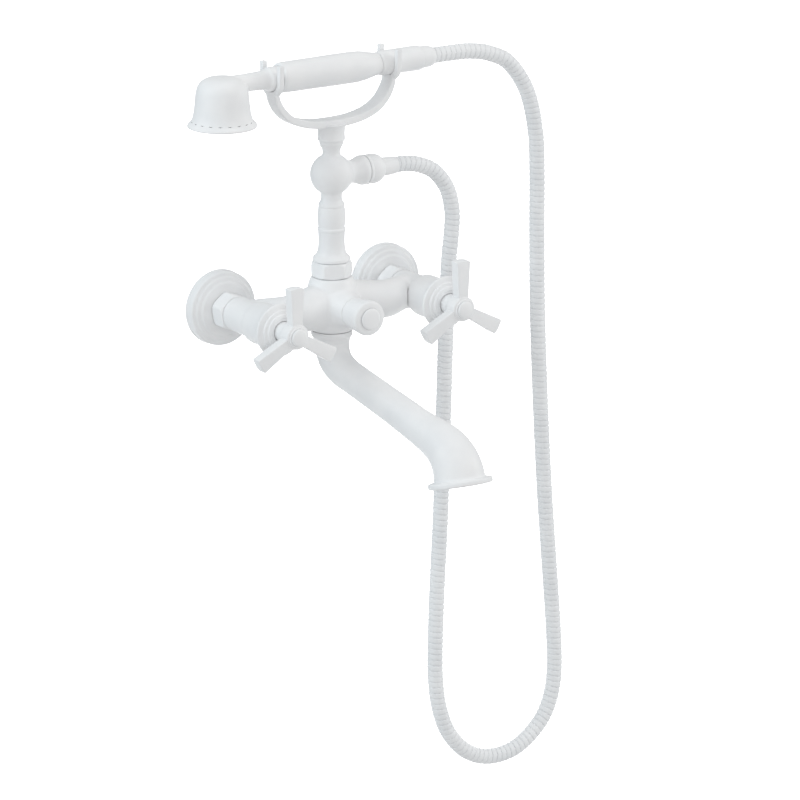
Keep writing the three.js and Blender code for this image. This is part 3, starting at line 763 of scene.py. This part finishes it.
FERRULE = [
    (5.5, 45.5, CRISP), (9.9, 45.5, CRISP), (9.9, 47.6, CRISP), (8.6, 47.6, CRISP), (8.6, 57), (8.2, 65),
    (7.8, 69.7, CRISP), (5.5, 69.7, CRISP),
]


def make_riser():
    foot = (0, -COLUMN_OUT, 0)
    hexagonal = hexagon(apothem=16.9, corner=35)
    nut = turned("riser_nut_fine", RISER_NUT, "up", foot, sides=144, shape=hexagonal)
    place(nut, "faucet", "riser_nut")
    tee_foot = (0, -COLUMN_OUT, TEE_Z)
    column = turned("riser_column_fine", COLUMN, "up", foot)
    boolean(column, [turned("tee", TEE, "right", tee_foot)], "UNION")
    place(column, "faucet", "riser_column")
    place(turned("column_hose_nut_fine", HOSE_NUT, "right", tee_foot), "faucet", "column_hose_nut")
    place(turned("column_ferrule_fine", FERRULE, "right", tee_foot), "faucet", "column_hose_ferrule")


make_riser()

# ---------------------------------------------------------------- cradle

STEM = [
    (6.2, 154.1, CRISP), (12.5, 154.1, 0.3), (12.7, 155.4, 0.5), (12.3, 157.4), (12.4, 163), (13.2, 167),
    (14.5, 169.6, 0.4), (7.5, 171, CRISP), (6.2, 171, CRISP),
]
# (x, z, half thickness) along the middle of the strap, from its centre to the right fork.
STRAP = [
    (0, 170.2, 3.7), (14, 170.4, 3.6), (30, 172.7, 3.5), (43, 177.2, 3.4), (52.3, 183.6, 3.3),
    (58.9, 192.3, 3), (62.3, 200, 2.6), (63.4, 207, 2.4),
]
STRAP_HALF = 8.5
FORK_X = 63.4
FORK_HALF = 2.4  # half its thickness
FORK_IN = 11.7
FORK_OUT = 16.9
FORK_TOP = 232.5
SET_SCREW_Z = 158.6


def strap():
    mirrored = [(-x, z, half) for x, z, half in reversed(STRAP[1:])]
    stations = rounded(mirrored + STRAP, False, numbers=3, steps=6)
    centres = [Vector((x, -COLUMN_OUT, z)) for x, z, _ in stations]
    back = Vector((0, 1, 0))
    rings = []
    for i, (centre, (_, _, half)) in enumerate(zip(centres, stations)):
        ahead = centres[min(i + 1, len(centres) - 1)] - centres[max(i - 1, 0)]
        rings.append(ring_round(centre, back, ahead.cross(back).normalized(), STRAP_HALF, half, power=9))
    return skin("strap", rings)


def fork(x):
    half_turn = [math.pi * k / 24 for k in range(25)]
    outer = [(-FORK_OUT * math.cos(a), HANDSET_Z - FORK_OUT * math.sin(a)) for a in half_turn]
    inner = [(FORK_IN * math.cos(a), HANDSET_Z - FORK_IN * math.sin(a)) for a in half_turn]
    outer_side = [(-FORK_OUT, FORK_TOP), *outer, (FORK_OUT, FORK_TOP)]
    outline = [*outer_side, (FORK_IN, FORK_TOP), *inner, (-FORK_IN, FORK_TOP)]
    axes = (Vector((0, 1, 0)), Vector((0, 0, 1)), Vector((1, 0, 0)))
    depths = (x - FORK_HALF, x + FORK_HALF)
    return slab("fork", outline, depths, axes, bevel=0.5, centre=(0, -COLUMN_OUT, 0))


def make_cradle():
    foot = (0, -COLUMN_OUT, 0)
    cradle = turned("cradle_fine", STEM, "up", foot)
    boolean(cradle, [strap(), fork(-FORK_X), fork(FORK_X)], "UNION")
    hole = [(0, 32), (1.9, 32, CRISP), (1.9, 46.5, CRISP), (0, 46.5)]
    tool = turned("hole", hole, "out", (0, 0, SET_SCREW_Z), sides=32)
    boolean(cradle, [tool], "DIFFERENCE")
    place(cradle, "faucet", "cradle")


make_cradle()

# ---------------------------------------------------------------- handset

BELL = [
    (0, 181.2), (31.4, 181.2, 0.5), (31.9, 182.4, 0.7), (31.2, 183.6, 0.8), (28.6, 185.8), (27, 189.2),
    (25.7, 195), (24.9, 203), (24.2, 211), (22.8, 217.6), (19.6, 222.6), (13.6, 225.8), (7, 226.8),
    (0, 226.9),
]
BELL_HOLLOW = [
    (0, 170), (28.7, 170, CRISP), (28.7, 183.6, CRISP), (25, 188), (22.4, 198), (20.8, 211), (16, 219),
    (8, 223), (0, 223.6),
]
NECK_BORE = [(0, -104), (4.6, -104), (4.6, -70, CRISP), (7.3, -70, CRISP), (7.3, -50, CRISP), (0, -50)]
NECK = [
    (0, -118), (8.2, -118), (8.2, -100), (8.3, -88), (8.8, -74), (9.6, -70, 0.6), (11.2, -68, 0.6),
    (11.2, -57.2, CRISP), (0, -57.2),
]
GRIP = [
    (7.4, -56.8, CRISP), (12.4, -56.8, 0.5), (13.8, -55.6), (14.1, -50), (14.2, -20), (14.4, 12), (14.2, 26),
    (13.4, 34), (11.8, 41), (10.7, 45.6), (10.3, 49.8, CRISP), (7.4, 49.8, CRISP),
]
TAIL = [
    (7.3, 50.2, CRISP), (10.2, 50.2, 0.3), (11, 51.2), (11.4, 53.4), (11.4, 80), (11.6, 93.6),
    (11.2, 95, 0.4), (6.5, 95, CRISP), (6.5, 83, CRISP), (4.6, 83, CRISP), (4.6, 61, CRISP), (7.3, 61, CRISP),
]
CONE_NUT = [
    (6.5, 95.4, CRISP), (10.3, 95.4, 0.4), (10.1, 100), (9.6, 106.4, 0.8), (8.3, 109.8, 0.5),
    (6.5, 109.8, CRISP),
]
SPRAY_PLATE = [
    (2.4, 182.6, CRISP), (9, 182.7), (20, 183.2), (24, 183, 0.5), (28.6, 182.6, 0.4), (28.6, 185.4, CRISP),
    (2.4, 185.4, CRISP),
]
NOZZLE = [
    (0, 184.6), (1.15, 184.6), (1.1, 182.4), (0.85, 181.6, 0.2), (0.42, 181.6, 0.1), (0.4, 182.8),
    (0, 182.8),
]
NOZZLE_ROWS = ((6, 7.6), (12, 14.2), (18, 20.8))  # (how many, radius of the row)


def keep_bell_rim(co):
    """How far the head is smoothed at a point: little at the rim and at the end of the neck."""
    return 0.2 if co.z < 192 or co.x > -72 else 1.0


def make_handset():
    bell_foot = (BELL_X, -COLUMN_OUT, 0)
    axis_foot = (0, -COLUMN_OUT, HANDSET_Z)
    parts = [turned("bell", BELL, "up", bell_foot), turned("neck", NECK, "right", axis_foot)]
    head = cast("handset_head_fine", parts, voxel=0.5, rounds=10, softness=keep_bell_rim)
    hollow = turned("hollow", BELL_HOLLOW, "up", bell_foot)
    bore = turned("bore", NECK_BORE, "right", axis_foot)
    boolean(head, [hollow, bore], "DIFFERENCE")
    place(head, "handset", "handset_head")
    place(turned("handset_grip_fine", GRIP, "right", axis_foot), "handset", "handset_grip")
    place(turned("handset_tail_fine", TAIL, "right", axis_foot), "handset", "handset_tail")
    place(turned("handset_cone_nut_fine", CONE_NUT, "right", axis_foot), "handset", "handset_hose_nut")


def make_spray_plate():
    foot = (BELL_X, -COLUMN_OUT, 0)
    plate = turned("spray_plate_fine", SPRAY_PLATE, "up", foot)
    place(plate, "handset", "spray_plate", "plastic", NOZZLE_WHITE)
    nozzles = []
    for count, radius in NOZZLE_ROWS:
        for i in range(count):
            angle = 2 * math.pi * i / count
            spot = (BELL_X + radius * math.cos(angle), -COLUMN_OUT + radius * math.sin(angle), 0)
            nozzles.append(turned("nozzle", NOZZLE, "up", spot, sides=12))
    made = smooth_faces(gathered("spray_nozzles", nozzles))
    made.data.materials.append(PLASTIC)
    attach(made, "handset")


make_handset()
make_spray_plate()

# ---------------------------------------------------------------- floor, light and background

FLOOR_Z = -1.0
FLOOR_REACH = 30
BACKDROP = (2.1, 3.0)  # the stretch of floor that the camera sees behind the object
BACKDROP_LIFT = 0.8
OBJECT_MIDDLE = Vector((0.05, -0.08, -0.05))


def add_floor():
    reach = FLOOR_REACH / MM
    corners = [(-reach, -reach, 0), (reach, -reach, 0), (reach, reach, 0), (-reach, reach, 0)]
    floor = mesh_object("floor", corners, [(0, 1, 2, 3)])
    floor.location = (0, 0, FLOOR_Z)
    pale = bpy.data.materials.new("pale_floor")
    pale.use_nodes = True
    shader = pale.node_tree.nodes["Principled BSDF"]
    shader.inputs["Base Color"].default_value = (0.62, 0.62, 0.62, 1)
    shader.inputs["Roughness"].default_value = 0.95
    floor.data.materials.append(pale)


def add_light(name, place, aim, size, power, colour):
    """A soft box at a place, turned towards the point "aim"."""
    data = bpy.data.lights.new(name, "AREA")
    data.shape = "RECTANGLE"
    data.size, data.size_y = size
    data.energy = power
    data.color = colour
    light = bpy.data.objects.new(name, data)
    light.visible_camera = False
    bpy.context.scene.collection.objects.link(light)
    light.location = place
    light.rotation_euler = (Vector(place) - Vector(aim)).to_track_quat("Z", "Y").to_euler()


def around(azimuth, elevation, distance):
    """A place round the object. Azimuth 0 is in front of the wall, and 90 is on its left."""
    turn, rise = math.radians(azimuth), math.radians(elevation)
    away = Vector((-math.sin(turn) * math.cos(rise), -math.cos(turn) * math.cos(rise), math.sin(rise)))
    return OBJECT_MIDDLE + away * distance


def add_lights():
    middle = OBJECT_MIDDLE
    add_light("top_box", around(10, 85, 2.6), middle, (2.0, 2.0), 11, (1.0, 0.97, 0.94))
    add_light("left_box", around(100, 24, 2.45), middle, (1.5, 1.5), 19, (0.82, 0.94, 1.0))
    add_light("front_box", around(26, 11, 3.4), middle, (1.8, 1.8), 19, (1.0, 0.98, 0.96))
    add_light("right_box", around(-60, 20, 3.0), middle, (1.6, 1.6), 25, (0.98, 1.0, 1.0))
    x, y = BACKDROP
    backdrop = (x, y, FLOOR_Z)
    add_light("backdrop_box", (x, y, FLOOR_Z + BACKDROP_LIFT), backdrop, (2.6, 5.6), 140, (1.0, 1.0, 1.0))
    # Its long side lies along the camera's line of sight, seen from above.
    bpy.data.objects["backdrop_box"].rotation_euler = (0, 0, -CAMERA_AZIMUTH)
    world = bpy.data.worlds.new("studio")
    world.use_nodes = True
    background = world.node_tree.nodes["Background"]
    background.inputs["Color"].default_value = (0.99, 0.995, 1.0, 1)
    background.inputs["Strength"].default_value = 0.56
    bpy.context.scene.world = world
    bpy.context.scene.view_settings.view_transform = "Standard"


add_floor()
add_lights()
